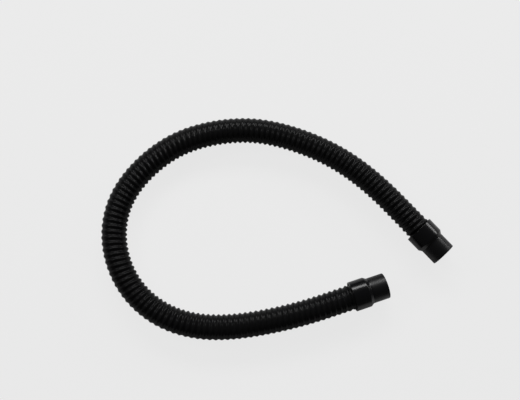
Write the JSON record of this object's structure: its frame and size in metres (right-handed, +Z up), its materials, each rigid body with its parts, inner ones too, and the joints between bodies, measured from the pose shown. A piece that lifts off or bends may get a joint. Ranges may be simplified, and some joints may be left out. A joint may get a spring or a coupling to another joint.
{
  "type": "pool vacuum hose",
  "caption": "Spiral-ribbed flexible pool vacuum hose lying in an open loop, with a stepped swivel cuff, hose nut, seal and retaining ring on each end.",
  "frame": {"origin": "on the ground under the middle of the object's outline, seen from above", "axes": "+Z up from the ground; the loop lies in XY, open towards +X, with the near end at the lower right (-Y) and the far end at the upper right"},
  "size_m": [0.5535, 0.3537, 0.0474],
  "materials": {
    "hose_plastic": "satin black moulded plastic",
    "cuff_plastic": "smooth semi-gloss black moulded plastic",
    "nut_plastic": "matte black moulded plastic",
    "seal_rubber": "matte dark grey rubber"
  },
  "bodies": {
    "hose_line": {"hose": "hose_plastic", "near_hose_nut": "nut_plastic", "far_hose_nut": "nut_plastic"},
    "near_swivel": {"near_cuff": "cuff_plastic", "near_retaining_ring": "cuff_plastic", "near_seal_washer": "seal_rubber"},
    "far_swivel": {"far_cuff": "cuff_plastic", "far_retaining_ring": "cuff_plastic", "far_seal_washer": "seal_rubber"}
  },
  "joints": [
    {"name": "near_cuff_swivel", "type": "hinge", "parent": "hose_line", "child": "near_swivel", "pos_m": [0.1355, -0.103, 0.0237], "axis": [0.9468, 0.3219, 0], "continuous": true},
    {"name": "far_cuff_swivel", "type": "hinge", "parent": "hose_line", "child": "far_swivel", "pos_m": [0.238, -0.0165, 0.0237], "axis": [0.6897, -0.7241, 0], "continuous": true}
  ]
}
